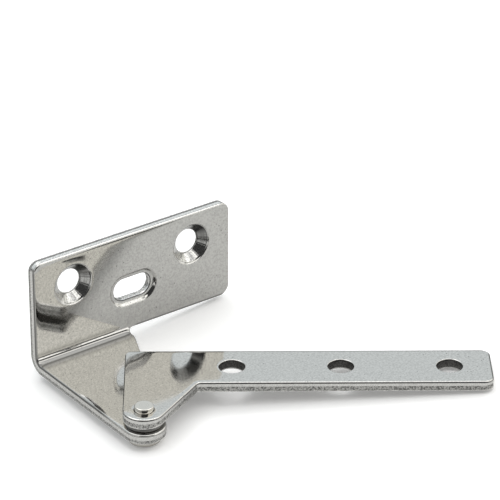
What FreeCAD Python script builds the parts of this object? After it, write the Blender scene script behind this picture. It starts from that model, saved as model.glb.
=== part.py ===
import FreeCAD, Part
import math
import os

# Pivot hinge pressed from stainless sheet: an angled bracket for the cabinet, a flat arm for the
# door, and a headed pin that joins them with a thrust washer between.
# Millimetres. The origin is on the pivot axis, at the underside of the pin's lower head.
# +Z runs up the pivot axis, +X along the bracket's flange, +Y towards the flange.

# Sheet that the bracket and the arm are pressed from
sheet_thickness = 2.0
rolled_edge_radius = 0.25
hole_rolled_edge = 0.15

# Bracket: leaf, bend and flange
bracket_nose_radius = 4.0
pivot_to_flange_face = 29.2
flange_length = 44.3
flange_height = 22.55
flange_corner_radius = 2.0
bend_inner_radius = 1.2
leaf_root_width = 20.8
leaf_root_setback = 0.8
leaf_root_blend_radius = 3.0
relief_height = 2.75
relief_radius = 0.6

# Screw holes and slot in the flange
screw_hole_radius = 2.4
screw_hole_spacing = 26.8
first_screw_from_end = 8.6
screw_hole_from_top = 6.45
countersink_radius = 4.15
slot_width = 4.5
slot_length = 8.3
slot_from_top = 11.55
slot_rim_width = 6.8
slot_land_width = 5.7
slot_rim_depth = 0.55

# Arm: heel, strip and its row of holes
arm_nose_radius = 3.85
arm_back_offset = 20.75
arm_strip_width = 11.55
arm_reach = 63.65
arm_slant_angle = 29.4
arm_end_corner_radius = 1.8
arm_heel_corner_radius = 1.4
arm_inner_corner_radius = 1.0
arm_hole_radius = 2.4
arm_first_hole = 15.85
arm_last_hole_from_end = 7.8
arm_hole_count = 3
arm_rest_angle = -35.8

# Pivot pin and thrust washer
pin_radius = 1.75
pin_stub_height = 0.8
pin_chamfer = 0.25
head_radius = 3.15
head_height = 1.35
head_edge_radius = 0.75
washer_outer_radius = 3.4
washer_thickness = 1.03
washer_edge_radius = 0.45

# Clearances
pin_running_clearance = 0.05
washer_bore_clearance = 0.1
axial_play = 0.04

# Heights up the pivot axis
leaf_bottom = head_height
leaf_top = leaf_bottom + sheet_thickness
washer_top = leaf_top + washer_thickness
arm_bottom = washer_top + axial_play
arm_top = arm_bottom + sheet_thickness
pin_top = arm_top + pin_stub_height

# Places worked out from the sizes
UP = FreeCAD.Vector(0, 0, 1)
flange_left = -bracket_nose_radius
flange_right = flange_left + flange_length
flange_back = pivot_to_flange_face + sheet_thickness
flange_top = leaf_bottom + flange_height
bend_start = pivot_to_flange_face - bend_inner_radius
leaf_root = flange_left + leaf_root_width
arm_front_offset = arm_back_offset - arm_strip_width
arm_hole_line = arm_back_offset - arm_strip_width / 2
arm_hole_spacing = (arm_reach - arm_last_hole_from_end - arm_first_hole) / (arm_hole_count - 1)
past = 1.0


def vec(x, y, z=0.0):
    return FreeCAD.Vector(x, y, z)


def tangent_point(radius, point, side):
    """Where a line from point touches the circle of this radius about the pivot axis."""
    reach = math.hypot(point.x, point.y)
    spread = side * math.acos(radius / reach)
    bearing = math.atan2(point.y, point.x) + spread
    return vec(radius * math.cos(bearing), radius * math.sin(bearing))


def corner_arc(corner, before, after, radius):
    """Start, middle and end of the arc that rounds a corner between two straight runs."""
    back = (before - corner).normalize()
    ahead = (after - corner).normalize()
    half = back.getAngle(ahead) / 2
    setback = radius / math.tan(half)
    centre = corner + (back + ahead).normalize() * (radius / math.sin(half))
    start = corner + back * setback
    end = corner + ahead * setback
    middle = centre + (corner - centre).normalize() * radius
    return start, middle, end


def rounded_outline(corners):
    """Closed wire through (point, radius) corners, with an arc at each corner that has a radius."""
    edges = []
    runs = []
    count = len(corners)
    for index, (point, radius) in enumerate(corners):
        before = corners[index - 1][0]
        after = corners[(index + 1) % count][0]
        if radius > 0:
            start, middle, end = corner_arc(point, before, after, radius)
            edges.append(Part.Arc(start, middle, end).toShape())
            runs.append((start, end))
        else:
            runs.append((point, point))
    for index in range(count):
        leave = runs[index - 1][1]
        reach = runs[index][0]
        if leave.distanceToPoint(reach) > 1e-6:
            edges.append(Part.makeLine(leave, reach))
    return Part.Wire(Part.__sortEdges__(edges))


def prism(wire, direction):
    return Part.Face(wire).extrude(direction)


def cylinder(radius, low, high, x=0.0, y=0.0):
    return Part.makeCylinder(radius, high - low, vec(x, y, low), UP)


def turned(profile):
    """Solid of revolution about the pivot axis from (radius, height) points."""
    points = [vec(radius, 0, height) for radius, height in profile]
    face = Part.Face(Part.makePolygon(points + [points[0]]))
    return face.revolve(vec(0, 0), UP, 360)


def bent_section():
    """Leaf, bend and flange seen from the end, run over the whole length of the flange."""
    outer = bend_inner_radius + sheet_thickness
    nose_end = -bracket_nose_radius - past
    corners = [
        (vec(flange_left, nose_end, leaf_bottom), 0),
        (vec(flange_left, flange_back, leaf_bottom), outer),
        (vec(flange_left, flange_back, flange_top + past), 0),
        (vec(flange_left, pivot_to_flange_face, flange_top + past), 0),
        (vec(flange_left, pivot_to_flange_face, leaf_top), bend_inner_radius),
        (vec(flange_left, nose_end, leaf_top), 0),
    ]
    return prism(rounded_outline(corners), vec(flange_length, 0, 0))


def leaf_plan():
    """Plan of the bracket: round nose, straight left edge, slanted right edge, full flange."""
    root = vec(leaf_root, bend_start - leaf_root_setback)
    touch = tangent_point(bracket_nose_radius, root, -1)
    left = vec(flange_left, 0)
    middle_bearing = (math.atan2(touch.y, touch.x) - math.pi) / 2
    front = vec(math.cos(middle_bearing), math.sin(middle_bearing)) * bracket_nose_radius
    blend = corner_arc(root, touch, vec(leaf_root, flange_back), leaf_root_blend_radius)
    points = [
        blend[2],
        vec(flange_right + past, blend[2].y),
        vec(flange_right + past, flange_back + past),
        vec(flange_left, flange_back + past),
        left,
    ]
    edges = [Part.makeLine(touch, blend[0]), Part.Arc(*blend).toShape()]
    edges += [Part.makeLine(a, b) for a, b in zip(points, points[1:])]
    edges.append(Part.Arc(left, front, touch).toShape())
    return prism(Part.Wire(edges), vec(0, 0, flange_top + past))


def flange_front():
    """Front outline of the bracket: rounded flange corners and the relief beside the leaf."""
    lower_edge = leaf_bottom + relief_height
    y = -bracket_nose_radius - past
    corners = [
        (vec(flange_left, y, leaf_bottom - past), 0),
        (vec(leaf_root, y, leaf_bottom - past), 0),
        (vec(leaf_root, y, lower_edge), relief_radius),
        (vec(flange_right, y, lower_edge), flange_corner_radius),
        (vec(flange_right, y, flange_top), flange_corner_radius),
        (vec(flange_left, y, flange_top), flange_corner_radius),
    ]
    depth = flange_back + past - y
    return prism(rounded_outline(corners), vec(0, depth, 0))


def screw_hole(x, z):
    """Through hole with a 90 degree countersink that opens at the flange's front face."""
    sink = countersink_radius - screw_hole_radius
    profile = [
        (0, pivot_to_flange_face - past),
        (countersink_radius + past, pivot_to_flange_face - past),
        (countersink_radius, pivot_to_flange_face),
        (screw_hole_radius, pivot_to_flange_face + sink),
        (screw_hole_radius, flange_back + past),
        (0, flange_back + past),
    ]
    points = [vec(x + radius, y, z) for radius, y in profile]
    face = Part.Face(Part.makePolygon(points + [points[0]]))
    return face.revolve(vec(x, 0, z), vec(0, 1, 0), 360)


def slot_wire(x, z, width, y):
    """Round-ended outline as long as the slot plus what the width adds at each end."""
    radius = width / 2
    half = (slot_length - slot_width) / 2
    right_top = vec(x + half, y, z + radius)
    right_low = vec(x + half, y, z - radius)
    left_top = vec(x - half, y, z + radius)
    left_low = vec(x - half, y, z - radius)
    edges = [
        Part.makeLine(left_top, right_top),
        Part.Arc(right_top, vec(x + half + radius, y, z), right_low).toShape(),
        Part.makeLine(right_low, left_low),
        Part.Arc(left_low, vec(x - half - radius, y, z), left_top).toShape(),
    ]
    return Part.Wire(edges)


def slot_cut(x, z):
    """Round-ended slot in a shallow sunk land, with a sloping wall up to the flange's front face."""
    slope = (slot_rim_width - slot_land_width) / slot_rim_depth
    through = prism(slot_wire(x, z, slot_width, pivot_to_flange_face - past),
                    vec(0, sheet_thickness + 2 * past, 0))
    mouth = slot_wire(x, z, slot_rim_width + slope * past, pivot_to_flange_face - past)
    land = slot_wire(x, z, slot_land_width, pivot_to_flange_face + slot_rim_depth)
    rim = Part.makeLoft([mouth, land], True, True)
    return through.fuse(rim)


def edges_on(shape, keep):
    """Edges whose ends and middle all satisfy keep."""
    found = []
    for edge in shape.Edges:
        middle = edge.valueAt((edge.FirstParameter + edge.LastParameter) / 2)
        points = [vertex.Point for vertex in edge.Vertexes] + [middle]
        if all(keep(point) for point in points):
            found.append(edge)
    return found


def inner_side(point):
    """Whether a point lies on the leaf's upper face, the bend's inside or the flange's front."""
    near = 1e-4
    lift = point.z - leaf_top
    back = pivot_to_flange_face - point.y
    if back > bend_inner_radius - near:
        return abs(lift) < near
    if lift > bend_inner_radius - near:
        return abs(back) < near
    reach = math.hypot(bend_inner_radius - back, bend_inner_radius - lift)
    return abs(reach - bend_inner_radius) < near


def bend_line(edge):
    """Whether an edge runs along the bend, where the inside curve meets a flat face."""
    if edge.Curve.TypeId != "Part::GeomLine":
        return False
    start, end = [vertex.Point for vertex in edge.Vertexes]
    if abs(start.z - end.z) > 1e-4 or abs(start.y - end.y) > 1e-4:
        return False
    at_leaf = abs(start.y - bend_start) < 1e-3
    at_flange = abs(start.z - leaf_top - bend_inner_radius) < 1e-3
    return at_leaf or at_flange


def frame_bracket():
    blank = bent_section().common(leaf_plan()).common(flange_front())
    blank = blank.removeSplitter().Solids[0]
    rims = [edge for edge in edges_on(blank, inner_side) if not bend_line(edge)]
    rolled = blank.makeFillet(rolled_edge_radius, rims)
    first = flange_left + first_screw_from_end
    screw_height = flange_top - screw_hole_from_top
    body = rolled.cut(screw_hole(first, screw_height))
    body = body.cut(screw_hole(first + screw_hole_spacing, screw_height))
    body = body.cut(slot_cut(first + screw_hole_spacing / 2, flange_top - slot_from_top))
    return body.cut(cylinder(pin_radius, leaf_bottom - past, leaf_top + past))


def arm_outline():
    """Plan of the arm, with its strip along +X and the pivot axis at the origin."""
    heel = vec(-arm_nose_radius, arm_back_offset)
    back_end = vec(arm_reach, arm_back_offset)
    front_end = vec(arm_reach, arm_front_offset)
    slope = math.radians(arm_slant_angle)
    touch = vec(math.cos(slope), -math.sin(slope)) * arm_nose_radius
    rise = arm_front_offset - touch.y
    inner = vec(touch.x + rise * math.tan(slope), arm_front_offset)
    left = vec(-arm_nose_radius, 0)
    heel_arc = corner_arc(heel, left, back_end, arm_heel_corner_radius)
    back_arc = corner_arc(back_end, heel, front_end, arm_end_corner_radius)
    front_arc = corner_arc(front_end, back_end, inner, arm_end_corner_radius)
    inner_arc = corner_arc(inner, front_end, touch, arm_inner_corner_radius)
    middle_bearing = -(math.pi + slope) / 2
    nose_front = vec(math.cos(middle_bearing), math.sin(middle_bearing)) * arm_nose_radius
    arcs = [heel_arc, back_arc, front_arc, inner_arc, (touch, nose_front, left)]
    edges = []
    for index, (start, middle, end) in enumerate(arcs):
        edges.append(Part.makeLine(arcs[index - 1][2], start))
        edges.append(Part.Arc(start, middle, end).toShape())
    return Part.Wire(edges)


def door_arm():
    outline = arm_outline()
    outline.translate(vec(0, 0, arm_bottom))
    plate = prism(outline, vec(0, 0, sheet_thickness))
    on_top = edges_on(plate, lambda point: abs(point.z - arm_top) < 1e-4)
    body = plate.makeFillet(rolled_edge_radius, on_top)
    low = arm_bottom - past
    high = arm_top + past
    for index in range(arm_hole_count):
        x = arm_first_hole + index * arm_hole_spacing
        body = body.cut(cylinder(arm_hole_radius, low, high, x, arm_hole_line))
    body = body.cut(cylinder(pin_radius + pin_running_clearance, low, high))
    rims = [edge for edge in edges_on(body, lambda point: abs(point.z - arm_top) < 1e-4)
            if edge.Curve.TypeId == "Part::GeomCircle" and len(edge.Vertexes) == 1]
    body = body.makeFillet(hole_rolled_edge, rims)
    body.rotate(vec(0, 0), UP, arm_rest_angle)
    return body


def pivot_pin():
    """Headed pin: rounded lower head, plain shank and a chamfered end above the arm."""
    body = turned([
        (0, 0),
        (head_radius, 0),
        (head_radius, head_height),
        (pin_radius, head_height),
        (pin_radius, pin_top - pin_chamfer),
        (pin_radius - pin_chamfer, pin_top),
        (0, pin_top),
    ])
    foot = edges_on(body, lambda point: abs(point.z) < 1e-4 and math.hypot(point.x, point.y) > pin_radius)
    return body.makeFillet(head_edge_radius, foot)


def thrust_washer():
    """Flat ring that carries the arm on the leaf, with a well rounded outer edge."""
    bore = pin_radius + washer_bore_clearance
    ring = turned([
        (bore, leaf_top),
        (washer_outer_radius, leaf_top),
        (washer_outer_radius, washer_top),
        (bore, washer_top),
    ])
    rims = edges_on(ring, lambda point: min(abs(point.z - leaf_top), abs(point.z - washer_top)) < 1e-4
                    and math.hypot(point.x, point.y) > pin_radius + washer_thickness)
    return ring.makeFillet(washer_edge_radius, rims)


def write(name, shape):
    solid = shape.Solids[0]
    solid.exportStep("parts/" + name + ".step")


os.makedirs("parts", exist_ok=True)
write("frame_bracket", frame_bracket())
write("door_arm", door_arm())
write("pivot_pin", pivot_pin())
write("thrust_washer", thrust_washer())
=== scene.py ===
import math

import bmesh
import bpy
import numpy as np
from bpy.props import FloatProperty, FloatVectorProperty, IntProperty, PointerProperty
from mathutils import Matrix, Vector, noise


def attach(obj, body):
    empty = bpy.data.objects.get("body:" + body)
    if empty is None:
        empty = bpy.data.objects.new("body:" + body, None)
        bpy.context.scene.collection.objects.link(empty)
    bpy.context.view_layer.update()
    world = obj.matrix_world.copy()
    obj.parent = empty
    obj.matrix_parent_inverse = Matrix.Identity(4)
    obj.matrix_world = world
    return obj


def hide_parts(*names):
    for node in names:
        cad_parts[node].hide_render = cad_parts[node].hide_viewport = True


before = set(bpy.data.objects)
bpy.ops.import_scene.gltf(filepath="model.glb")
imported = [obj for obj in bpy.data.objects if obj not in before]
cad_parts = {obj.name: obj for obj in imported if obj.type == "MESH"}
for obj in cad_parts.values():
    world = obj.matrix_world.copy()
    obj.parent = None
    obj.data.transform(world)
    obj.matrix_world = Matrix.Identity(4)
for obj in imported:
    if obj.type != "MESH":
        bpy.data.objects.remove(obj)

bl_info = {
    "name": "Pressed pivot hinge",
    "version": (1, 0, 0),
    "blender": (4, 5, 0),
    "location": "3D View > Sidebar > Hinge",
    "description": "Dresses the pressed stainless pivot hinge and sets its studio stage",
    "category": "Object",
}

MM = 0.001

# Material slots of the pressed plates, in the order in which their faces use them
# The last slot is a near-black finish that paints shade on edges and walls
POLISHED, SHEARED, FRACTURED, MACHINED, PAINTED_DARK = range(5)

# Depth below the upper face, in millimetres, at which its lean has died away
LEAN_DEPTH = 0.3

# How the bend curves as it mirrors: parts of its arc, the sheet's angle at them in degrees, and
# how many folds follow it
BEND_PARTS = (-0.12, -0.02, 0.14, 0.18, 0.28, 0.32, 0.46, 0.49,
              0.56, 0.585, 0.715, 0.735, 0.87, 0.9, 1.05, 1.2)
BEND_ANGLES = (0.0, 13.5, 19.5, 26.0, 31.5, 36.5, 42.0, 47.0,
               53.0, 61.6, 64.4, 67.0, 68.6, 81.0, 85.0, 90.0)
BEND_FOLDS = 66

# Steps of a rolled edge, of the lower lip's round and of a countersink's cone
ROLL_STEPS, LIP_STEPS, CONE_STEPS = 8, 4, 8

# Points round a countersink, a hole in the strip, the arm's bore and the leaf's bore
SINK_POINTS, HOLE_POINTS, ARM_BORE_POINTS, LEAF_BORE_POINTS = 180, 140, 110, 96

# Height of the strips in the broken band, how soon below the sheared band it starts, and how far
# an edge reaches over the sheet's lower face, all in millimetres
BREAK_STRIP, BREAK_START, FACE_REACH = 0.13, 0.05, 0.5


def length(name, millimetres, description):
    """A length property whose default is given in millimetres."""
    return FloatProperty(name=name, description=description, default=millimetres * MM,
                         min=0.0, precision=5, unit="LENGTH")


def tint(name, colour, description):
    return FloatVectorProperty(name=name, description=description, default=colour, size=3,
                               min=0.0, max=1.0, subtype="COLOR")


def angle_prop(name, radians, description):
    return FloatProperty(name=name, description=description, default=radians, subtype="ANGLE")


def share_prop(name, default, description):
    return FloatProperty(name=name, description=description, default=default, min=0.0, max=1.0)


def mm(value):
    """A property's length in millimetres, the unit that the outlines are worked out in."""
    return value / MM


class SheetSettings(bpy.types.PropertyGroup):
    """The stainless sheet that both plates are pressed from, and how its cut edges look."""

    thickness: length("Thickness", 2.0, "Gauge of the sheet")
    roll: length("Rolled edge", 0.25, "Width of the round the punch leaves on the polished side")
    roll_depth: length("Rolled edge depth", 0.27, "Depth of that round")
    soft_width: length("Polish roll-off", 1.1, "Width over which polishing eases the face to the edge")
    soft_drop: length("Roll-off depth", 0.028, "How far the face falls over that width")
    burnish: length("Sheared band", 0.62, "Depth of the smooth band below the rolled edge")
    burnish_waver: length("Band waver", 0.06, "How far the end of the sheared band wanders")
    step: length("Break step", 0.035, "How far the broken band stands back from the sheared band")
    fracture_relief: length("Break relief", 0.03, "Height of the grain in the broken band")
    lip: length("Lower lip", 0.24, "Depth of the tumbled lip under the broken band")
    spacing: length("Edge spacing", 0.16, "Distance between the points that follow an edge")
    polish_tint: tint("Polished sheet", (0.700, 0.692, 0.672), "Colour of the polished faces")
    sheared_tint: tint("Sheared band", (0.800, 0.793, 0.778), "Colour of the smooth cut band")
    fracture_tint: tint("Broken band", (0.620, 0.615, 0.600), "Colour of the broken grain")
    machined_tint: tint("Countersinks", (0.720, 0.715, 0.700), "Colour of the cut countersinks")
    # Near-black colour of the painted dark line: painted shade under rolled edges and in holes
    painted_dark_tint: tint("Painted dark line", (0.170, 0.167, 0.162), "Colour of the line under the rolled edge")


class BracketSettings(bpy.types.PropertyGroup):
    """The angled bracket that screws to the cabinet."""

    nose: length("Nose radius", 4.0, "Radius of the leaf round the pivot")
    leaf_top: length("Leaf height", 3.35, "Height of the leaf's upper face")
    face: length("Flange distance", 29.2, "Distance from the pivot to the flange's front face")
    bend: length("Bend radius", 1.2, "Inside radius of the bend")
    width: length("Flange length", 44.3, "Length of the flange")
    height: length("Flange top", 23.9, "Height of the flange's top edge")
    corner: length("Flange corners", 2.0, "Radius of the flange's corners")
    root_width: length("Leaf root width", 20.8, "Width of the leaf at the bend")
    root_setback: length("Root setback", 0.8, "How far before the bend the leaf reaches that width")
    root_blend: length("Root blend", 3.0, "Radius that eases the leaf's slanted edge into its root")
    relief: length("Relief height", 4.1, "Height of the flange's free lower edge")
    relief_corner: length("Relief corner", 0.9, "Radius where the relief meets the leaf's root")
    hole: length("Screw hole radius", 2.4, "Radius of the screw holes")
    sink: length("Countersink radius", 4.15, "Radius of the countersinks at the face")
    first_hole: length("First hole", 8.6, "Distance of the first screw hole from the flange's end")
    hole_pitch: length("Hole pitch", 26.8, "Distance between the screw holes")
    hole_drop: length("Hole drop", 6.45, "Distance of the screw holes below the top edge")
    slot_drop: length("Slot drop", 11.55, "Distance of the slot below the top edge")
    slot_long: length("Slot length", 8.3, "Length of the slot through the sheet")
    slot_wide: length("Slot width", 4.5, "Width of the slot through the sheet")
    slot_rim: length("Slot rim width", 6.8, "Width of the slot's sunk rim at the face")
    slot_land: length("Slot land width", 5.7, "Width of the flat land inside the slot's rim")
    slot_depth: length("Slot rim depth", 0.55, "Depth of the slot's sunk rim")
    face_lean: angle_prop("Leaf lean", 0.028, "How far the leaf's face is off true, as it mirrors")
    bend_reach: length("Bend reach", 2.8, "How far the bend's duller polish reaches over the leaf")


class ArmSettings(bpy.types.PropertyGroup):
    """The flat arm that carries the door."""

    nose: length("Nose radius", 3.85, "Radius of the arm round the pivot")
    top: length("Top face", 6.42, "Height of the arm's top face")
    back: length("Back edge", 20.75, "Distance from the pivot line to the strip's back edge")
    strip: length("Strip width", 11.55, "Width of the strip")
    reach: length("Reach", 63.65, "Distance from the pivot to the strip's end")
    slant: angle_prop("Slant", math.radians(29.4), "Slope of the neck's front edge")
    turn: angle_prop("Rest angle", math.radians(-35.8), "Angle of the strip from the flange at rest")
    end_corner: length("End corners", 1.8, "Radius of the corners at the strip's end")
    heel_corner: length("Heel corner", 1.4, "Radius of the corner at the heel")
    inner_corner: length("Inner corner", 1.0, "Radius where the neck meets the strip")
    hole: length("Hole radius", 2.4, "Radius of the punched holes")
    first_hole: length("First hole", 15.85, "Distance from the pivot to the first hole")
    hole_pitch: length("Hole pitch", 20.0, "Distance between the holes")
    hole_count: IntProperty(name="Holes", description="Number of holes in the strip", default=3, min=1)
    bore: length("Pivot bore", 1.8, "Radius of the hole that turns on the pin")
    lean_along: angle_prop("Lean along X", 0.054, "How far the top face is off true, as it mirrors")
    lean_across: angle_prop("Lean along Y", 0.021, "How far the top face is off true, as it mirrors")


class PinSettings(bpy.types.PropertyGroup):
    """The headed pin and the thrust washer round it."""

    radius: length("Pin radius", 1.75, "Radius of the pin's shank")
    top: length("Pin top", 7.22, "Height of the pin's upper end")
    chamfer: length("Pin chamfer", 0.25, "Size of the chamfer at the upper end")
    head: length("Head radius", 3.15, "Radius of the lower head")
    head_height: length("Head height", 1.35, "Height of the lower head")
    head_round: length("Head edge", 0.75, "Radius round the head's lower edge")
    washer: length("Washer radius", 3.4, "Outer radius of the thrust washer")
    washer_bore: length("Washer bore", 1.85, "Radius of the washer's bore")
    washer_top: length("Washer top", 4.38, "Height of the washer's upper face")
    washer_edge: length("Washer edge", 0.45, "Radius round the washer's outer edges")
    segments: IntProperty(name="Segments", description="Points round each turned piece",
                          default=160, min=24)
    pin_tint: tint("Pin", (0.725, 0.700, 0.655), "Colour of the turned pin")
    # Painted shade: the steel washer is coloured near black so the gap under the arm reads shaded
    washer_shade_tint: tint("Washer", (0.170, 0.167, 0.163), "Colour of the thrust washer")


class StageSettings(bpy.types.PropertyGroup):
    """Floor, light and camera."""

    floor_tint: tint("Floor", (0.97, 0.97, 0.97), "Colour of the floor")
    floor_gloss: tint("Floor in reflections", (0.50, 0.50, 0.489), "Colour of the floor as metal mirrors it")
    floor_lift: share_prop("Floor lift", 0.18, "How much the floor glows to the camera")
    floor_fill: share_prop("Floor fill", 0.145, "How much the floor glows as metal mirrors it")
    key_power: FloatProperty(name="Key light", description="Power of the soft overhead light",
                             default=4.0, min=0.0, subtype="POWER")
    lens: FloatProperty(name="Lens", description="Focal length of the camera in millimetres",
                        default=208.93, min=1.0)


SETTINGS = {
    "hinge_sheet": SheetSettings,
    "hinge_bracket": BracketSettings,
    "hinge_arm": ArmSettings,
    "hinge_pin": PinSettings,
    "hinge_stage": StageSettings,
}


# Outlines


class Outline:
    """A closed run of points in the sheet's plane, with normals that point out of the metal."""

    def __init__(self, points, normals):
        self.points = [Vector(p) for p in points]
        self.normals = [Vector(n) for n in normals]

    def inside_out(self):
        """The same run as the wall of a hole: turned the other way round."""
        return Outline(self.points[::-1], [-n for n in self.normals[::-1]])

    def moved(self, x, y):
        return Outline([p + Vector((x, y)) for p in self.points], self.normals)


def rounded(corners, spacing):
    """Outline through (x, y, radius) corners, counterclockwise, with an arc at each corner."""
    arcs = []
    count = len(corners)
    for index, (x, y, radius) in enumerate(corners):
        corner = Vector((x, y))
        back = (Vector(corners[index - 1][:2]) - corner).normalized()
        ahead = (Vector(corners[(index + 1) % count][:2]) - corner).normalized()
        half = back.angle(ahead) / 2
        setback = radius / math.tan(half)
        centre = corner + (back + ahead).normalized() * (radius / math.sin(half))
        arcs.append((corner + back * setback, corner + ahead * setback, centre, radius))
    points, normals = [], []
    for index, (start, end, centre, radius) in enumerate(arcs):
        leave = arcs[index - 1][1]
        run = start - leave
        steps = math.ceil(run.length / spacing - 0.001)
        for step in range(steps):
            points.append(leave + run * (step / steps))
            normals.append(Vector((run.y, -run.x)).normalized())
        first, last = start - centre, end - centre
        turn = math.atan2(first.cross(last), first.dot(last))
        side = 1 if turn > 0 else -1
        steps = max(6, math.ceil(abs(turn) * max(radius, 1.0) / spacing))
        for step in range(steps):
            spoke = first.copy()
            spoke.rotate(Matrix.Rotation(turn * step / steps, 2))
            points.append(centre + spoke)
            normals.append(spoke.normalized() * side)
    return Outline(points, normals)


def circle(radius, count):
    spokes = [Vector((math.cos(a), math.sin(a))) for a in
              (2 * math.pi * i / count for i in range(count))]
    return Outline([spoke * radius for spoke in spokes], spokes)


def racetrack(long, wide, spacing):
    """A round-ended outline about the origin."""
    x, y, radius = long / 2, wide / 2, wide / 2
    return rounded([(-x, -y, radius), (x, -y, radius), (x, y, radius), (-x, y, radius)], spacing)


# Edge profiles, as lists of rings in millimetres


def ring(inset, depth, slot=POLISHED, inset_noise=0.0, depth_noise=0.0):
    """One ring of a profile. slot is the finish of the strip below it."""
    return inset, depth, slot, inset_noise, depth_noise


def eased_face(sheet, share=1.0):
    """Rings where polishing has eased the face towards an edge."""
    width, drop = mm(sheet.soft_width) * share, mm(sheet.soft_drop) * share
    roll, deep = mm(sheet.roll) * share, mm(sheet.roll_depth) * share
    rings = [ring(width + (roll - width) * part, drop * part ** 3)
             for part in (0.0, 0.25, 0.5, 0.7, 0.86)]
    for step in range(ROLL_STEPS + 1):
        angle = math.pi / 2 * step / ROLL_STEPS
        rings.append(ring(roll - roll * math.sin(angle), drop + deep - deep * math.cos(angle)))
    return rings


def cut_edge(sheet, depth=1.0, share=1.0, breakout=0.0, lip_round=0.08, painted_strips=3, wall=None):
    """A punched edge from face to face: roll, painted dark line, sheared band, break and lip.

    painted_strips is the number of the roll's last strips that the painted dark line, painted shade, takes,
    and wall is the slot of the sheared and broken bands where one wall of that finish takes their place.
    """
    thickness = mm(sheet.thickness)
    rings = eased_face(sheet, share)
    start = rings[-1][1]
    end = start + mm(sheet.burnish) * depth
    step, relief, waver = mm(sheet.step), mm(sheet.fracture_relief), mm(sheet.burnish_waver)
    sheared, broken = (SHEARED, FRACTURED) if wall is None else (wall, wall)
    # The roll's last strips and the strip below take the painted dark line, painted shade
    for index in range(1, painted_strips + 1):
        rings[-index] = ring(*rings[-index][:2], PAINTED_DARK)
    rings += [ring(0.012, start + 0.03, PAINTED_DARK, depth_noise=0.012),
              ring(0.004, start + 0.1 - 0.01 * painted_strips, sheared, depth_noise=0.012),
              ring(0.004, (start + end) / 2, sheared),
              ring(0.0, end, broken, depth_noise=waver)]
    lip = thickness - mm(sheet.lip)
    first = end + BREAK_START
    bands = max(2, round((lip - end) / BREAK_STRIP))
    for band in range(bands + 1):
        part = band / bands
        rings.append(ring(step + breakout * part, first + (lip - first) * part,
                          broken if band < bands else SHEARED, relief, waver * (1 - part)))
    rings.append(ring(0.012 + breakout, lip + 0.05, SHEARED, 0.004))
    for turn in range(LIP_STEPS + 1):
        angle = math.pi / 2 * turn / LIP_STEPS
        rings.append(ring(0.006 + breakout + lip_round * (1 - math.cos(angle)),
                          thickness - lip_round * (1 - math.sin(angle)),
                          SHEARED if turn < LIP_STEPS else POLISHED))
    rings.append(ring(FACE_REACH + breakout, thickness))
    return rings


def countersunk_edge(sheet, rim, hole):
    """A cut countersink: crisp bright rim, cone, short straight wall."""
    thickness, cone, start = mm(sheet.thickness), rim - hole, 0.17
    rings = [ring(*place) for place in ((0.5, 0.0), (0.14, 0.001), (0.05, 0.012),
                                        (0.0, 0.04), (-0.05, 0.1), (-0.11, 0.2))]
    for step in range(CONE_STEPS + 1):
        down = start + (cone - start) * step / CONE_STEPS
        rings.append(ring(-down, down + 0.04, MACHINED))
    rings += [ring(-cone, thickness - 0.05, MACHINED), ring(-cone + 0.05, thickness),
              ring(-cone + FACE_REACH, thickness)]
    return rings


def coined_edge(sheet, rim, land, hole, sink):
    """A sunk slot: crisp rim, sloping wall, flat land, rounded throat and straight wall."""
    thickness, foot, throat = mm(sheet.thickness), (rim - land) / 2, (rim - hole) / 2
    rings = [ring(*place) for place in (
        (0.3, 0.0), (0.12, 0.002), (0.04, 0.015), (-0.03, 0.055),
        (-foot * 0.25, sink * 0.25), (-foot * 0.5, sink * 0.5), (-foot * 0.75, sink * 0.75),
        (-foot + 0.08, sink - 0.09), (-foot - 0.02, sink - 0.025), (-foot - 0.12, sink))]
    # The throat's first strips are painted dark: painted shade where the rim turns down
    rings += [ring(-throat + inset, sink + depth, PAINTED_DARK)
              for inset, depth in ((0.16, 0.0), (0.08, 0.018), (0.022, 0.07))]
    rings += [ring(-throat, sink + 0.15, SHEARED), ring(-throat, sink + 0.32, SHEARED, 0.0, 0.03)]
    for depth in (0.5, 0.7, 0.9, 1.1, 1.25):
        rings.append(ring(-throat + 0.012, sink + depth, FRACTURED if depth < 1.25 else SHEARED, 0.02, 0.01))
    rings += [ring(-throat, thickness - 0.08, SHEARED), ring(-throat + 0.08, thickness),
              ring(-throat + FACE_REACH, thickness)]
    return rings


# Meshes


def grain(point, pitch, seed):
    """Smooth noise between -1 and 1 at a point in millimetres."""
    return noise.noise(Vector((point[0] / pitch, point[1] / pitch, point[2] / pitch + seed)))


def ring_positions(outline, profile_ring, level):
    """Positions of one profile ring round an outline, in millimetres with the face at height 0."""
    inset, depth, _, inset_noise, depth_noise = profile_ring
    places = []
    for point, normal in zip(outline.points, outline.normals):
        here = (point.x, point.y, level * 0.9)
        in_here, down_here = inset, depth
        if depth_noise:
            down_here += depth_noise * (grain(here, 1.9, 3.1) + 0.45 * grain(here, 0.5, 7.7))
        if inset_noise:
            in_here += inset_noise * (grain(here, 0.55, 11.3) + 0.8 * grain(here, 0.24, 5.9))
        place = point - normal * in_here
        places.append((place.x, place.y, -down_here))
    return places


def sweep(bm, outline, profile):
    """Strips round an outline, one for each step of the profile. Returns its first and last rings."""
    rings = [[bm.verts.new(place) for place in ring_positions(outline, made, level)]
             for level, made in enumerate(profile)]
    count = len(outline.points)
    for upper, lower, made in zip(rings, rings[1:], profile):
        for index in range(count):
            ahead = (index + 1) % count
            face = bm.faces.new((upper[index], lower[index], lower[ahead], upper[ahead]))
            face.material_index = made[2]
    return rings[0], rings[-1]


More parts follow.
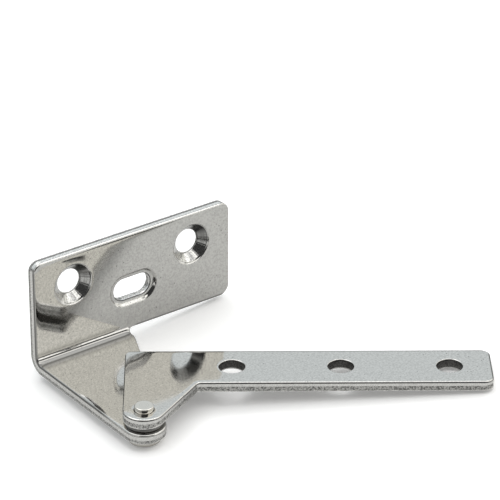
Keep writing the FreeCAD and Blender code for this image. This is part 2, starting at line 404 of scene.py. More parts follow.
def fill(bm, loops, upwards):
    """Flat face between an outer loop and the holes in it."""
    edges = []
    for loop in loops:
        for index, vertex in enumerate(loop):
            edges.append(bm.edges.get((vertex, loop[(index + 1) % len(loop)])))
    made = bmesh.ops.triangle_fill(bm, use_beauty=True, use_dissolve=False, edges=edges,
                                   normal=(0, 0, 1 if upwards else -1))
    for item in made["geom"]:
        if isinstance(item, bmesh.types.BMFace):
            item.material_index = POLISHED
            item.normal_update()
            if (item.normal.z > 0) != upwards:
                item.normal_flip()


def new_mesh(name, bm, materials):
    mesh = bpy.data.meshes.new(name)
    bm.to_mesh(mesh)
    bm.free()
    for material in materials:
        mesh.materials.append(material)
    return mesh


def plate_mesh(name, outer, holes, materials, cuts, place):
    """Mesh of a pressed plate. outer and each hole are (outline, profile) pairs.

    cuts are the lines of constant y where the plate is divided so that it can be bent. place takes
    an array of flat points and the side of the sheet they are on, and returns the points in the
    row's frame, their normals and how far off true the upper face mirrors, all in millimetres.
    """
    bm = bmesh.new()
    first, last = sweep(bm, *outer)
    tops, bottoms = [first], [last]
    for outline, profile in holes:
        first, last = sweep(bm, outline.inside_out(), profile)
        tops.append(first)
        bottoms.append(last)
    fill(bm, tops, True)
    fill(bm, bottoms, False)
    if any(len(edge.link_faces) != 2 for edge in bm.edges):
        raise RuntimeError("the faces of " + name + " don't close")
    for y in cuts:
        everything = bm.verts[:] + bm.edges[:] + bm.faces[:]
        bmesh.ops.bisect_plane(bm, geom=everything, dist=1e-5, plane_co=(0, y, 0), plane_no=(0, 1, 0))
    bmesh.ops.triangulate(bm, faces=bm.faces[:])
    for face in bm.faces:
        face.smooth = True
    for edge in bm.edges:
        slots = {face.material_index for face in edge.link_faces}
        if len(slots) > 1 and FRACTURED in slots:
            edge.smooth = False
    mesh = new_mesh(name, bm, materials)
    flat = np.zeros(len(mesh.vertices) * 3)
    mesh.vertices.foreach_get("co", flat)
    flat = flat.reshape(-1, 3)
    thickness = -flat[:, 2].min()
    placed, normals, lean = place(flat, np.where(flat[:, 2] > -thickness / 2, 1.0, -1.0))
    mesh.vertices.foreach_set("co", (placed * MM).ravel())
    mesh.update()
    settle_normals(mesh, flat, normals, lean, thickness)
    mesh.validate()
    return mesh


def settle_normals(mesh, flat, normals, lean, thickness):
    """Gives the faces their true normals, leaves the edges smooth, and leans the upper face."""
    corners = np.zeros(len(mesh.loops) * 3)
    mesh.corner_normals.foreach_get("vector", corners)
    corners = corners.reshape(-1, 3)
    owner = np.zeros(len(mesh.loops), dtype=int)
    mesh.loops.foreach_get("vertex_index", owner)
    on_face = (np.abs(flat[:, 2]) < 1e-4) | (np.abs(flat[:, 2] + thickness) < 1e-4)
    chosen = on_face[owner]
    corners[chosen] = normals[owner][chosen]
    depth_left = np.clip(1.0 + flat[:, 2] / LEAN_DEPTH, 0.0, 1.0)
    corners += (lean * depth_left[:, None])[owner]
    corners /= np.linalg.norm(corners, axis=1)[:, None]
    mesh.normals_split_custom_set(corners.tolist())


def turned_mesh(name, profile, count, material, wobble, sharp=None):
    """Mesh turned about the pivot axis from (radius, height) points, closed at both ends.

    wobble is how far the turned surface wanders, in millimetres, and sharp is the one point of the
    profile, if any, where the shading has a crease.
    """
    bm = bmesh.new()
    rings = []
    for radius, height in profile:
        if radius < 1e-9:
            rings.append([bm.verts.new((0, 0, height * MM))])
            continue
        made = []
        for index in range(count):
            angle = 2 * math.pi * index / count
            spoke = Vector((math.cos(angle), math.sin(angle), height))
            out = radius + wobble * grain(spoke * 2.0, 1.0, radius)
            made.append(bm.verts.new((out * spoke.x * MM, out * spoke.y * MM, height * MM)))
        rings.append(made)
    pairs = list(zip(rings, rings[1:]))
    if len(rings[0]) > 1:
        pairs.append((rings[-1], rings[0]))
    for lower, upper in pairs:
        for index in range(count):
            ahead = (index + 1) % count
            if len(lower) == 1:
                corners = (lower[0], upper[ahead], upper[index])
            elif len(upper) == 1:
                corners = (lower[index], lower[ahead], upper[0])
            else:
                corners = (lower[index], lower[ahead], upper[ahead], upper[index])
            bm.faces.new(corners).smooth = True
    if sharp is not None:
        crease = rings[profile.index(sharp)]
        for index in range(count):
            bm.edges.get((crease[index], crease[(index + 1) % count])).smooth = False
    bmesh.ops.recalc_face_normals(bm, faces=bm.faces[:])
    return new_mesh(name, bm, [material])


def quarter(centre_radius, centre_height, radius, start, steps):
    """Points on a quarter arc in a turned profile, counterclockwise from an angle in degrees."""
    points = []
    for step in range(steps + 1):
        angle = math.radians(start + 90 * step / steps)
        points.append((centre_radius + radius * math.cos(angle), centre_height + radius * math.sin(angle)))
    return points


def add_object(name, data):
    made = bpy.data.objects.new(name, data)
    bpy.context.scene.collection.objects.link(made)
    return made


def stand_in(name, mesh, node, body):
    """Puts a dressed piece in the place of its node."""
    piece = add_object(name, mesh)
    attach(piece, body)
    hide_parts(node)


# Shader nodes


class Nodes:
    """Short way to add nodes to a tree and join them."""

    def __init__(self, tree):
        self.tree = tree

    def join(self, socket, target):
        self.tree.links.new(socket, target)

    def add(self, kind, inputs=None, **settings):
        """Adds a shader node with its inputs set or joined. Returns its outputs."""
        node = self.tree.nodes.new("ShaderNode" + kind)
        for name, value in settings.items():
            setattr(node, name, value)
        for name, value in (inputs or {}).items():
            if isinstance(value, bpy.types.NodeSocket):
                self.join(value, node.inputs[name])
            else:
                node.inputs[name].default_value = value
        return node.outputs

    def math(self, operation, *values):
        return self.add("Math", dict(enumerate(values)), operation=operation)[0]

    def times(self, first, *others):
        for other in others:
            first = self.math("MULTIPLY", first, other)
        return first

    def most(self, first, *others):
        for other in others:
            first = self.math("MAXIMUM", first, other)
        return first

    def spread(self, value, low, high, to_low=0.0, to_high=1.0, kind="LINEAR"):
        """Where the value stands between low and high, held at both ends."""
        limits = {"Value": value, "From Min": low, "From Max": high, "To Min": to_low, "To Max": to_high}
        return self.add("MapRange", limits, interpolation_type=kind)["Result"]

    def mix(self, base, colour, mask):
        """The base colour, turned into another where the mask is 1."""
        if not isinstance(base, bpy.types.NodeSocket):
            base = (*base, 1.0)
        return self.add("Mix", {"Factor": mask, "A": base, "B": (*colour, 1.0)}, data_type="RGBA")["Result"]

    def along(self, place, direction):
        """How far a place lies along a direction."""
        return self.add("VectorMath", {0: place, 1: direction}, operation="DOT_PRODUCT")["Value"]

    def place(self):
        """The place on the object, whole and as X, Y and Z."""
        place = self.add("TexCoord")["Object"]
        return place, *self.add("SeparateXYZ", {"Vector": place})

    def noise(self, place, scale, detail):
        return self.add("TexNoise", {"Vector": place, "Scale": scale, "Detail": detail})[0]

    def noise_along(self, line, detail):
        """Noise along one number."""
        inputs = {"W": line, "Scale": 1.0, "Detail": detail}
        return self.add("TexNoise", inputs, noise_dimensions="1D")[0]

    def drawn_noise(self, place, scale, stretch, turn):
        """Noise drawn out along one direction, as polishing and rolling leave it."""
        mapped = self.add("Mapping", {"Vector": place, "Rotation": turn, "Scale": stretch})[0]
        return self.noise(mapped, scale, 2.0)


# Effects shared by the materials: each returns the outputs that EFFECTS names


def tumbled_polish(nodes, given):
    """Marks of a tumbled and polished sheet: drifting waves, hairline scratches, pits, grain and haze."""
    place = nodes.add("TexCoord")["Object"]
    first = nodes.drawn_noise(place, given["Scratch Scale"], (1, 0.03, 1), (0.2, 0.1, 0.5))
    second = nodes.drawn_noise(place, given["Scratch Scale"], (0.04, 1, 1), (0.1, 0.3, 0.2))
    scratches = nodes.math("ADD", nodes.spread(first, 0.62, 0.76), nodes.spread(second, 0.63, 0.78))
    cells = nodes.add("TexVoronoi", {"Vector": place, "Scale": given["Pit Scale"]})
    pick = nodes.add("SeparateColor", {"Color": cells["Color"]})[0]
    pits = nodes.times(nodes.spread(cells["Distance"], 0.08, 0.3, 0.8, 0.0),
                       nodes.math("LESS_THAN", pick, given["Pit Amount"]))
    speckle = nodes.noise(place, given["Grain Scale"], 1.0)
    return (nodes.noise(place, given["Wave Scale"], 1.5), scratches, pits,
            nodes.spread(speckle, 0.35, 0.7, 0.0, 0.28), nodes.noise(place, given["Haze Scale"], 3.0))


def cut_grain(nodes, given):
    """Marks of a cut edge: fine lines that the punch draws across the sheet's thickness, and broken grain.
    """
    place = nodes.add("TexCoord")["Object"]
    lines = nodes.drawn_noise(place, given["Line Scale"], (1, 1, 0.04), (0, 0, 0))
    cells = nodes.add("TexVoronoi", {"Vector": place, "Scale": given["Grain Scale"]})
    return lines, cells["Distance"], nodes.noise(place, given["Blotch Scale"], 2.0)


def chatter_marks_and_shade(nodes, given):
    """Facets, fine rings and streaks round the axes of a row of countersinks, which run along Y, and painted
    shade: a dark sector over the upper side of each.
    """
    _, x, y, z = nodes.place()
    half = nodes.times(given["Pitch"], 0.5)
    across = nodes.math("SUBTRACT", x, given["Centre X"])
    across = nodes.math("WRAP", across, half, nodes.times(half, -1.0))
    angle = nodes.math("ARCTAN2", nodes.math("SUBTRACT", z, given["Centre Z"]), across)
    turn = nodes.times(nodes.math("DIVIDE", angle, 2 * math.pi), given["Facet Count"])
    facets = nodes.times(nodes.math("PINGPONG", nodes.math("ADD", turn, 20.3), 0.5), 2.0)
    streaks = nodes.noise_along(nodes.times(angle, given["Streak Count"]), 2.0)
    rings = nodes.noise_along(nodes.times(y, given["Ring Scale"]), 1.0)
    ringed = nodes.times(nodes.spread(rings, 0.45, 0.6, 0.0, 0.75), nodes.spread(angle, -0.9, -0.3))
    streaked = nodes.times(nodes.spread(streaks, 0.5, 0.62), nodes.spread(angle, -0.7, -1.3, 0.8, 0.35))
    # Painted shade: a dark sector over the upper side of each cone
    painted_dark_sector = nodes.times(nodes.spread(angle, 0.1, 0.7, 0.35, 1.0), nodes.spread(angle, 1.75, 1.2),
                         nodes.spread(angle, 0.0, 0.12))
    return facets, nodes.most(ringed, streaked, painted_dark_sector)


# The name, inputs with their defaults and outputs of each effect's node group
EFFECTS = {
    tumbled_polish: (
        "Tumbled polish",
        {"Wave Scale": 260.0, "Scratch Scale": 900.0, "Pit Scale": 1900.0, "Pit Amount": 0.09,
         "Grain Scale": 3000.0, "Haze Scale": 150.0},
        ("Waves", "Scratches", "Pits", "Grain", "Haze")),
    cut_grain: (
        "Cut grain",
        {"Line Scale": 1500.0, "Grain Scale": 3800.0, "Blotch Scale": 3300.0},
        ("Lines", "Grain", "Blotches")),
    chatter_marks_and_shade: (
        "Chatter marks and painted shade",
        {"Centre X": 0.0, "Centre Z": 0.0, "Pitch": 0.02, "Facet Count": 8.0,
         "Streak Count": 9.0, "Ring Scale": 7000.0},
        ("Facets", "Lines")),
}


def effect(nodes, maker, values=None):
    """The outputs of an effect placed in a material. Its node group is built once."""
    name, inputs, outputs = EFFECTS[maker]
    tree = bpy.data.node_groups.get(name)
    if tree is None:
        tree = bpy.data.node_groups.new(name, "ShaderNodeTree")
        for label, default in inputs.items():
            socket = tree.interface.new_socket(label, in_out="INPUT", socket_type="NodeSocketFloat")
            socket.default_value = default
        for label in outputs:
            tree.interface.new_socket(label, in_out="OUTPUT", socket_type="NodeSocketFloat")
        made = maker(Nodes(tree), tree.nodes.new("NodeGroupInput").outputs)
        out = tree.nodes.new("NodeGroupOutput")
        for label, socket in zip(outputs, made):
            tree.links.new(socket, out.inputs[label])
    return nodes.add("Group", values, node_tree=tree)


# Materials


def new_material(name):
    """A new material with its nodes and its shader."""
    material = bpy.data.materials.new(name)
    material.use_nodes = True
    return material, Nodes(material.node_tree), material.node_tree.nodes["Principled BSDF"]


def metal(name):
    material, nodes, shader = new_material(name)
    shader.inputs["Metallic"].default_value = 1.0
    return material, nodes, shader


def finish(nodes, shader, colour, dull_and_shaded, dark, rough):
    """Feeds a metal's colour, darkened to a share of itself by its marks and by painted shade, and its
    roughness.
    """
    shaded = nodes.mix(colour, [part * dark for part in colour], dull_and_shaded)
    nodes.join(shaded, shader.inputs["Base Color"])
    nodes.join(rough, shader.inputs["Roughness"])


def bump(nodes, shader, height, distance, strength=1.0, before=None):
    """Adds a bump of a height in metres to the shader, over the one before."""
    inputs = {"Height": height, "Distance": distance, "Strength": strength}
    if before is not None:
        inputs["Normal"] = before
    normal = nodes.add("Bump", inputs)["Normal"]
    nodes.join(normal, shader.inputs["Normal"])
    return normal


def polished_material(colour, bracket, arm):
    """Sheet tumbled and polished to a near mirror, darkened at its pits and grain, with painted shade in the
    leaf's corner at the bend and painted dark lines along the left edge, the flange's lower edge and the
    arm's end and back edge.
    """
    material, nodes, shader = metal("polished_sheet")
    marks = effect(nodes, tumbled_polish)
    place, x, y, z = nodes.place()
    bend_start, left = bracket.face - bracket.bend, -bracket.nose
    root = bracket.root_width - bracket.nose
    # Painted shade: the leaf darkened in its corner before the bend
    bend_painted_shade = nodes.times(nodes.spread(y, bend_start - 2.4 * MM, bend_start),
                              nodes.spread(z, bracket.leaf_top + 0.6 * MM, bracket.leaf_top + 0.1 * MM))
    # Painted shade: a dark line painted along the left rolled edge
    left_edge_shade = nodes.times(nodes.spread(x, left + 0.2 * MM, left + 0.1 * MM),
                            nodes.spread(y, 4.0 * MM, 8.0 * MM))
    # Painted shade: a dark line painted along the flange's lower free edge
    lower_edge_shade = nodes.times(nodes.spread(z, bracket.relief + 0.4 * MM, bracket.relief + 0.26 * MM),
                             nodes.spread(x, root + 1.0 * MM, root + 2.0 * MM, 0.0, 0.8),
                             nodes.spread(y, bend_start, bracket.face))
    cosine, sine = math.cos(arm.turn), math.sin(arm.turn)
    ahead, aside = nodes.along(place, (cosine, sine, 0)), nodes.along(place, (-sine, cosine, 0))
    # Painted shade: dark lines painted along the arm's end and back edge
    arm_edge_shade = nodes.most(nodes.spread(ahead, arm.reach - 0.36 * MM, arm.reach - 0.26 * MM),
                           nodes.spread(aside, arm.back - 0.55 * MM, arm.back - 0.42 * MM, 0.0, 0.8))
    on_arm = nodes.times(nodes.spread(y, bend_start, bend_start - 1.0 * MM),
                         nodes.spread(z, arm.top - 1.0 * MM, arm.top - 0.9 * MM))
    dull_and_shaded = nodes.most(nodes.math("ADD", marks["Pits"], marks["Grain"]), bend_painted_shade, left_edge_shade,
                      lower_edge_shade, nodes.times(arm_edge_shade, on_arm))
    rough = nodes.math("ADD", nodes.spread(marks["Haze"], 0.3, 0.7, 0.05, 0.085),
                       nodes.times(marks["Scratches"], 0.06))
    finish(nodes, shader, colour, dull_and_shaded, 0.3, rough)
    waves = bump(nodes, shader, marks["Waves"], 0.00001, 0.35)
    cuts = nodes.math("ADD", marks["Scratches"], nodes.times(marks["Pits"], 3.0))
    bump(nodes, shader, nodes.times(cuts, -1.0), 0.0000015, 0.6, before=waves)
    return material


def sheared_material(colour, back):
    """The smooth band that the punch leaves: fine lines down the edge, and painted shade darkening the band
    at the flange's back.
    """
    material, nodes, shader = metal("sheared_edge")
    marks = effect(nodes, cut_grain)
    y = nodes.place()[2]
    # The streaks mask also paints shade: the band darkened along the flange's back
    streaks = nodes.most(nodes.spread(marks["Lines"], 0.45, 0.75, 0.0, 0.26),
                         nodes.spread(y, back - 0.3 * MM, back - 0.2 * MM))
    finish(nodes, shader, colour, streaks, 0.45, nodes.spread(marks["Blotches"], 0.3, 0.7, 0.2, 0.32))
    bump(nodes, shader, marks["Lines"], 0.000012, 0.5)
    return material


def fractured_material(colour, top):
    """The band where the metal broke away: grainy and speckled, with painted shade darkening it near the top
    edge.
    """
    material, nodes, shader = metal("broken_edge")
    marks = effect(nodes, cut_grain)
    z = nodes.place()[3]
    # The pits mask also paints shade: the band darkened towards the flange's top edge
    pits = nodes.most(nodes.spread(marks["Blotches"], 0.44, 0.6),
                      nodes.spread(z, top - 1.2 * MM, top - 0.2 * MM))
    finish(nodes, shader, colour, pits, 0.3, nodes.spread(marks["Grain"], 0.1, 0.6, 0.3, 0.5))
    bump(nodes, shader, nodes.math("ADD", marks["Grain"], marks["Blotches"]), 0.00003, 0.8)
    return material


def machined_material(colour, centre, pitch):
    """A cone cut by a countersink that chattered: flat facets round it, tool rings, dark blotches, and
    painted shade over its upper side.
    """
    material, nodes, shader = metal("cut_countersink")
    marks, polish = effect(nodes, cut_grain), effect(nodes, tumbled_polish)
    chatter_and_shade = effect(nodes, chatter_marks_and_shade, {"Centre X": centre[0], "Centre Z": centre[1], "Pitch": pitch})
    dull_and_shaded = nodes.most(nodes.spread(marks["Blotches"], 0.46, 0.62, 0.06, 0.4), chatter_and_shade["Lines"])
    finish(nodes, shader, colour, dull_and_shaded, 0.09, nodes.spread(polish["Haze"], 0.3, 0.7, 0.11, 0.18))
    facets = bump(nodes, shader, chatter_and_shade["Facets"], 0.00001)
    facets = bump(nodes, shader, chatter_and_shade["Lines"], 0.000008, before=facets)
    bump(nodes, shader, marks["Blotches"], 0.000006, 0.4, before=facets)
    return material


def painted_dark_material(colour):
    """A near-black finish that paints shade: the dark line where the rolled edge meets the sheared band, and
    dark walls.
    """
    material, nodes, shader = metal("painted_dark_line")
    marks = effect(nodes, cut_grain)
    breaks = nodes.spread(marks["Blotches"], 0.4, 0.6)
    finish(nodes, shader, colour, breaks, 0.5, nodes.spread(marks["Grain"], 0.1, 0.6, 0.25, 0.4))
    bump(nodes, shader, marks["Lines"], 0.00002, 0.5)
    return material


def turned_material(name, colour):
    """A turned or stamped small part with fine rings about the pivot axis."""
    material, nodes, shader = metal(name)
    polish = effect(nodes, tumbled_polish)
    _, x, y, z = nodes.place()
    flat = nodes.add("CombineXYZ", {"X": x, "Y": y})[0]
    radius = nodes.add("VectorMath", {0: flat}, operation="LENGTH")["Value"]
    rings = nodes.noise_along(nodes.times(nodes.math("ADD", radius, z), 9000.0), 1.0)
    finish(nodes, shader, colour, nodes.spread(rings, 0.5, 0.8, 0.0, 0.4), 0.6,
           nodes.spread(polish["Haze"], 0.3, 0.7, 0.05, 0.1))
    bump(nodes, shader, rings, 0.000004, 0.4)
    return material


SHEET_FINISHES = []


def sheet_materials(sheet, bracket, arm):
    """The finishes of a pressed plate in the order of their slots, built once."""
    if not SHEET_FINISHES:
        first_hole = bracket.first_hole - bracket.nose, bracket.height - bracket.hole_drop
        SHEET_FINISHES.extend([
            polished_material(sheet.polish_tint, bracket, arm),
            sheared_material(sheet.sheared_tint, bracket.face + sheet.thickness),
            fractured_material(sheet.fracture_tint, bracket.height),
            machined_material(sheet.machined_tint, first_hole, bracket.hole_pitch),
            painted_dark_material(sheet.painted_dark_tint),
        ])
    return SHEET_FINISHES


# Stage

WHITE = (1.0, 1.0, 1.0, 1.0)

# Tone of the studio's walls, and the cards and black flags before them, each laid over the ones
# before it: its tone, the way to it from the table, the cosines of the angles at which it begins
# and is full, and its band of heights as low, high and softness, or None where it has none
STUDIO_WALLS = (0.62, 0.62, 0.61)
STUDIO_CARDS = (
    ((0.77, 0.815, 0.83), (0.3, 1.0, 0.25), -0.1, 0.5, None),  # pale sweep behind
    ((0.05, 0.05, 0.05), (0.9, 0.42, 0.0), 0.9, 0.95, (-1.0, 0.3, 0.05)),  # flag at the back right
    ((0.08, 0.08, 0.08), (-0.2, 1.0, 0.1), 0.3, 0.5, (-1.0, 0.2, 0.05)),  # low flag behind
    ((1.2, 1.19, 1.14), (0.95, -0.1, 0.45), 0.82, 0.93, None),  # card at the right
    ((1.10, 1.09, 1.02), (0.6, -0.75, 0.5), 0.6, 0.88, None),  # warm card at the front right
    ((0.04, 0.04, 0.04), (0.55, -0.75, 0.2), 0.8, 0.9, (0.235, 0.345, 0.012)),  # its dark seam
    ((1.5, 1.49, 1.45), (0.55, -0.75, 0.2), 0.8, 0.9, (-1.0, 0.21, 0.012)),  # its bright foot
    ((1.5, 1.49, 1.46), (0.6, -0.5, 0.75), 0.85, 0.92, (0.55, 0.71, 0.015)),  # strip over the front
    ((1.8, 1.8, 1.79), (0.1, 0.3, 0.95), 0.84, 0.92, None),  # bright ceiling
    ((0.15, 0.15, 0.15), (0.1, 0.05, 1.0), 0.935, 0.965, None),  # dark back of the overhead softbox
    ((0.04, 0.04, 0.04), (0.6, -0.5, 0.75), 0.85, 0.92, (0.735, 0.825, 0.015)),  # seam in the ceiling
    ((0.05, 0.05, 0.05), (-0.15, -0.95, 0.3), 0.86, 0.93, None),  # flag in front
    ((0.05, 0.05, 0.05), (-0.5, -0.75, 0.42), 0.84, 0.92, None),  # flag at the front left
)


def floor_material(stage):
    """Pale table that shows white to the camera and keeps the shadow."""
    material, nodes, shader = new_material("pale_table")
    shader.inputs["Roughness"].default_value = 0.9
    shader.inputs["Specular IOR Level"].default_value = 0.0
    shader.inputs["Emission Color"].default_value = WHITE
    path = nodes.add("LightPath")
    tone = nodes.mix(stage.floor_tint, stage.floor_gloss, path["Is Glossy Ray"])
    nodes.join(tone, shader.inputs["Base Color"])
    glow = nodes.math("ADD", nodes.times(path["Is Camera Ray"], stage.floor_lift),
                      nodes.times(path["Is Glossy Ray"], stage.floor_fill))
    nodes.join(glow, shader.inputs["Emission Strength"])
    return material


def studio_world():
    """Soft studio round the table, white to the camera and with cards and flags for the metal."""
    world = bpy.data.worlds.new("soft_studio")
    world.use_nodes = True
    nodes = Nodes(world.node_tree)
    world.node_tree.nodes.clear()
    heading = nodes.add("TexCoord")["Generated"]
    height = nodes.add("SeparateXYZ", {"Vector": heading})["Z"]
    room = STUDIO_WALLS
    for tone, direction, begins, full, heights in STUDIO_CARDS:
        reach = nodes.along(heading, Vector(direction).normalized())
        mask = nodes.spread(reach, begins, full, kind="SMOOTHSTEP")
        if heights:
            low, high, soft = heights
            mask = nodes.times(mask, nodes.spread(height, low - soft, low + soft),
                               nodes.spread(height, high - soft, high + soft, 1.0, 0.0))
        room = nodes.mix(room, tone, mask)
    seen = nodes.add("MixShader", {"Fac": nodes.add("LightPath")["Is Camera Ray"],
                                   1: nodes.add("Background", {"Color": room, "Strength": 1.0})[0],
                                   2: nodes.add("Background", {"Color": WHITE, "Strength": 1.0})[0]})
    nodes.add("OutputWorld", {"Surface": seen[0]})
    return world


# Operators


class HINGE_OT_frame_bracket(bpy.types.Operator):
    """Build the angled bracket in the place of its node"""

    bl_idname = "hinge.frame_bracket"
    bl_label = "Frame bracket"

    def execute(self, context):
        sheet, bracket = context.scene.hinge_sheet, context.scene.hinge_bracket
        spacing = mm(sheet.spacing)
        nose, leaf_top = mm(bracket.nose), mm(bracket.leaf_top)
        bend = mm(bracket.bend)
        bend_start = mm(bracket.face) - bend
        arc = bend * math.pi / 2
        centre_height = leaf_top + bend

        def unrolled(height):
            """Distance along the flat sheet of a height on the flange's front face."""
            return bend_start + arc + height - centre_height

        left, right = -nose, mm(bracket.width) - nose
        root_x, root_y = left + mm(bracket.root_width), bend_start - mm(bracket.root_setback)
        top = unrolled(mm(bracket.height))
        relief = bend_start + bend * math.acos((centre_height - mm(bracket.relief)) / bend)
        reach = math.hypot(root_x, root_y)
        bearing = math.atan2(root_y, root_x) - math.acos(nose / reach)
        slope = Vector((root_x - nose * math.cos(bearing), root_y - nose * math.sin(bearing)))
        tip_y = root_y - slope.y / slope.x * (root_x - left)
        corner = mm(bracket.corner)
        outer = rounded([
            (left, tip_y, nose),
            (root_x, root_y, mm(bracket.root_blend)),
            (root_x, relief, mm(bracket.relief_corner)),
            (right, relief, corner),
            (right, top, corner),
            (left, top, corner),
        ], spacing)
        hole_y = unrolled(mm(bracket.height) - mm(bracket.hole_drop))
        slot_y = unrolled(mm(bracket.height) - mm(bracket.slot_drop))
        hole_x = left + mm(bracket.first_hole)
        pitch = mm(bracket.hole_pitch)
        sink, hole = mm(bracket.sink), mm(bracket.hole)
        rim, wide, long = mm(bracket.slot_rim), mm(bracket.slot_wide), mm(bracket.slot_long)
        land, depth = mm(bracket.slot_land), mm(bracket.slot_depth)
        mouth = racetrack(long + rim - wide, rim, spacing)
        holes = [(circle(sink, SINK_POINTS).moved(x, hole_y), countersunk_edge(sheet, sink, hole))
                 for x in (hole_x, hole_x + pitch)]
        holes.append((mouth.moved(hole_x + pitch / 2, slot_y), coined_edge(sheet, rim, land, wide, depth)))
        holes.append((circle(mm(context.scene.hinge_pin.radius), LEAF_BORE_POINTS),
                      cut_edge(sheet, share=0.5)))

        def facing(angle, side):
            """Normals of the upper or lower face where the sheet is bent by an angle."""
            return np.stack([0 * angle, -np.sin(angle) * side, np.cos(angle) * side], axis=1)

        def fold(flat, side):
            """Bends the flat sheet: leaf level, flange upright."""
            angle = np.clip((flat[:, 1] - bend_start) / bend, 0.0, math.pi / 2)
            radius = bend - flat[:, 2]
            past = np.maximum(flat[:, 1] - bend_start - arc, 0.0)
            before = np.minimum(flat[:, 1], bend_start)
            y = before + radius * np.sin(angle)
            z = centre_height - radius * np.cos(angle) + past
            placed = np.stack([flat[:, 0], y, z], axis=1)
            mirrored = np.interp((flat[:, 1] - bend_start) / arc, BEND_PARTS, np.radians(BEND_ANGLES))
            on_leaf = np.clip((bend_start - flat[:, 1]) / mm(bracket.bend_reach), 0.0, 1.0)
            mirrored -= bracket.face_lean * on_leaf
            return placed, facing(angle, side), facing(mirrored, side) - facing(angle, side)

        first, last = BEND_PARTS[0], BEND_PARTS[-1]
        cuts = [bend_start + arc * (first + (last - first) * step / BEND_FOLDS)
                for step in range(BEND_FOLDS + 1)]
        cuts += [bend_start, bend_start + arc, bend_start - mm(bracket.bend_reach)]
        edge = cut_edge(sheet, depth=1.36, share=1.25, breakout=0.04, lip_round=0.12, painted_strips=1)
        mesh = plate_mesh("frame_bracket_dressed", (outer, edge), holes,
                          sheet_materials(sheet, bracket, context.scene.hinge_arm), cuts, fold)
        stand_in("bracket_pressing", mesh, "frame_bracket", "bracket")
        return {"FINISHED"}


class HINGE_OT_door_arm(bpy.types.Operator):
    """Build the door arm in the place of its node"""

    bl_idname = "hinge.door_arm"
    bl_label = "Door arm"

    def execute(self, context):
        sheet, arm = context.scene.hinge_sheet, context.scene.hinge_arm
        spacing = mm(sheet.spacing)
        nose, back, reach = mm(arm.nose), mm(arm.back), mm(arm.reach)
        front = back - mm(arm.strip)
        touch = Vector((math.cos(arm.slant), -math.sin(arm.slant))) * nose
        inner_x = touch.x + (front - touch.y) * math.tan(arm.slant)
        tip_y = touch.y - (touch.x + nose) / math.tan(arm.slant)
        outer = rounded([
            (-nose, tip_y, nose),
            (inner_x, front, mm(arm.inner_corner)),
            (reach, front, mm(arm.end_corner)),
            (reach, back, mm(arm.end_corner)),
            (-nose, back, mm(arm.heel_corner)),
        ], spacing)
        line = back - mm(arm.strip) / 2
        holes = []
        for index in range(arm.hole_count):
            x = mm(arm.first_hole) + index * mm(arm.hole_pitch)
            # The holes' walls take the painted dark finish: painted shade inside the holes
            holes.append((circle(mm(arm.hole), HOLE_POINTS).moved(x, line),
                          cut_edge(sheet, share=0.6, breakout=0.09, painted_strips=3, wall=PAINTED_DARK)))
        holes.append((circle(mm(arm.bore), ARM_BORE_POINTS), cut_edge(sheet, share=0.7)))
        cosine, sine = math.cos(arm.turn), math.sin(arm.turn)
        top = mm(arm.top)

        def swing(flat, side):
            """Turns the flat arm to its rest angle and lifts it to its height."""
            placed = np.stack([flat[:, 0] * cosine - flat[:, 1] * sine,
                               flat[:, 0] * sine + flat[:, 1] * cosine, flat[:, 2] + top], axis=1)
            upright = np.stack([0 * side, 0 * side, side], axis=1)
            return placed, upright, np.tile([arm.lean_along, arm.lean_across, 0.0], (len(flat), 1))

        mesh = plate_mesh("door_arm_dressed", (outer, cut_edge(sheet)), holes,
                          sheet_materials(sheet, context.scene.hinge_bracket, arm), (), swing)
        stand_in("arm_pressing", mesh, "door_arm", "arm")
        return {"FINISHED"}


class HINGE_OT_pivot_pin(bpy.types.Operator):
    """Build the headed pin in the place of its node"""

    bl_idname = "hinge.pivot_pin"
    bl_label = "Pivot pin"

    def execute(self, context):
        pin = context.scene.hinge_pin
        radius, top, chamfer = mm(pin.radius), mm(pin.top), mm(pin.chamfer)
        head, height, edge = mm(pin.head), mm(pin.head_height), mm(pin.head_round)
        profile = [(0, 0.0), (head - edge - 0.4, 0.0)] + quarter(head - edge, edge, edge, -90, 12)
        neck = (radius, height + 0.05)
        profile += [(head, height - 0.12), (head - 0.03, height - 0.03), (head - 0.12, height),
                    (radius + 0.05, height), neck, (radius, top - chamfer - 0.06),
                    (radius - 0.005, top - chamfer * 0.7), (radius - 0.02, top - chamfer * 0.4),
                    (radius - 0.05, top - chamfer * 0.17), (radius - 0.1, top - 0.012),
                    (radius - 0.15, top), (radius - 0.2, top), (0.35, top), (0, top - 0.03)]
        mesh = turned_mesh("pivot_pin_dressed", profile, pin.segments,
                           turned_material("turned_pin", pin.pin_tint), wobble=0.004, sharp=neck)
        stand_in("pin_turning", mesh, "pivot_pin", "bracket")
        return {"FINISHED"}


class HINGE_OT_thrust_washer(bpy.types.Operator):
    """Build the thrust washer in the place of its node"""

    bl_idname = "hinge.thrust_washer"
    bl_label = "Thrust washer"

    def execute(self, context):
        pin = context.scene.hinge_pin
        low, high = mm(context.scene.hinge_bracket.leaf_top), mm(pin.washer_top)
        bore, rim, edge = mm(pin.washer_bore), mm(pin.washer), mm(pin.washer_edge)
        profile = [(bore + 0.06, low), (rim - edge, low)] + quarter(rim - edge, low + edge, edge, -90, 5)
        profile += quarter(rim - edge, high - edge, edge, 0, 5)
        profile += [(bore + 0.06, high), (bore, high - 0.06), (bore, low + 0.06)]
        # The washer's near-black colour is painted shade of the gap between leaf and arm
        mesh = turned_mesh("thrust_washer_dressed", profile, pin.segments,
                           turned_material("washer_steel", pin.washer_shade_tint), wobble=0.006)
        stand_in("washer_ring", mesh, "thrust_washer", "bracket")
        return {"FINISHED"}


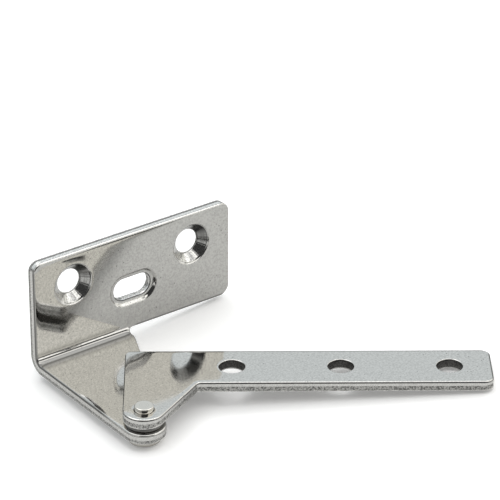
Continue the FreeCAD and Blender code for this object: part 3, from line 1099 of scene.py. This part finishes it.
class HINGE_OT_stage(bpy.types.Operator):
    """Set the table, the soft light and the camera"""

    bl_idname = "hinge.stage"
    bl_label = "Studio stage"

    # The three points that the loose hinge rests on, in millimetres: arm end, pin head, bend
    REST = ((63.04, -20.65, 4.42), (2.49, 0.28, 0.01), (16.8, 28.0, 1.35))
    TABLE_HALF = 3.0
    TABLE_GAP = 0.01 * MM
    LAMP_SIZE = (1.3, 1.1)
    LAMP_PLACE = (0.1, 0.03, 0.8)
    LAMP_AIM = (0.02, 0.0, 0.0)
    CAMERA_PLACE = (-0.251126, -0.367134, 0.275943)
    CAMERA_RIGHT = (0.80217, -0.59708, 0.00441)
    CAMERA_UP = (0.27801, 0.38002, 0.88221)

    def execute(self, context):
        stage = context.scene.hinge_stage
        self.add_table(stage)
        self.add_light(stage)
        context.scene.camera = self.add_camera(stage)
        context.scene.world = studio_world()
        context.scene.view_settings.view_transform = "Standard"
        return {"FINISHED"}

    def add_table(self, stage):
        arm_end, head, bend = (Vector(point) * MM for point in self.REST)
        normal = (head - arm_end).cross(bend - arm_end).normalized()
        if normal.z < 0:
            normal = -normal
        along = Vector((1, 0, 0)) - normal * normal.x
        along.normalize()
        across = normal.cross(along)
        half = self.TABLE_HALF
        corners = [bend + along * x * half + across * y * half
                   for x, y in ((-1, -1), (1, -1), (1, 1), (-1, 1))]
        mesh = bpy.data.meshes.new("table")
        mesh.from_pydata([tuple(c - normal * self.TABLE_GAP) for c in corners], [], [(0, 1, 2, 3)])
        mesh.materials.append(floor_material(stage))
        add_object("table", mesh)

    def add_light(self, stage):
        lamp = bpy.data.lights.new("overhead_softbox", "AREA")
        lamp.shape = "RECTANGLE"
        lamp.size, lamp.size_y = self.LAMP_SIZE
        lamp.energy = stage.key_power
        place = Vector(self.LAMP_PLACE)
        turn = (Vector(self.LAMP_AIM) - place).to_track_quat("-Z", "Y")
        softbox = add_object("overhead_softbox", lamp)
        softbox.matrix_world = Matrix.Translation(place) @ turn.to_matrix().to_4x4()

    def add_camera(self, stage):
        right, up = Vector(self.CAMERA_RIGHT).normalized(), Vector(self.CAMERA_UP).normalized()
        back = right.cross(up).normalized()
        up = back.cross(right)
        turn = Matrix((right, up, back)).transposed().to_4x4()
        lens = bpy.data.cameras.new("product_camera")
        lens.lens = stage.lens
        lens.sensor_width = 36.0
        lens.clip_start, lens.clip_end = 0.01, 20.0
        camera = add_object("product_camera", lens)
        camera.matrix_world = Matrix.Translation(Vector(self.CAMERA_PLACE)) @ turn
        return camera


class HINGE_PT_sidebar(bpy.types.Panel):
    """Lists the hinge's pieces and sizes"""

    bl_idname = "HINGE_PT_sidebar"
    bl_label = "Pressed pivot hinge"
    bl_space_type = "VIEW_3D"
    bl_region_type = "UI"
    bl_category = "Hinge"

    def draw(self, context):
        for operator in PIECES:
            self.layout.operator(operator.bl_idname)
        for name, kind in SETTINGS.items():
            box = self.layout.box()
            box.label(text=kind.__doc__)
            for field in kind.__annotations__:
                box.prop(getattr(context.scene, name), field)


PIECES = (
    HINGE_OT_frame_bracket,
    HINGE_OT_door_arm,
    HINGE_OT_pivot_pin,
    HINGE_OT_thrust_washer,
    HINGE_OT_stage,
)


def register():
    for kind in (*SETTINGS.values(), *PIECES, HINGE_PT_sidebar):
        bpy.utils.register_class(kind)
    for name, kind in SETTINGS.items():
        setattr(bpy.types.Scene, name, PointerProperty(type=kind))


def unregister():
    for name in SETTINGS:
        delattr(bpy.types.Scene, name)
    for kind in (HINGE_PT_sidebar, *reversed(PIECES), *reversed(SETTINGS.values())):
        bpy.utils.unregister_class(kind)


def main():
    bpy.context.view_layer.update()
    register()
    bpy.ops.hinge.frame_bracket()
    bpy.ops.hinge.door_arm()
    bpy.ops.hinge.pivot_pin()
    bpy.ops.hinge.thrust_washer()
    bpy.ops.hinge.stage()


if __name__ == "__main__":
    main()
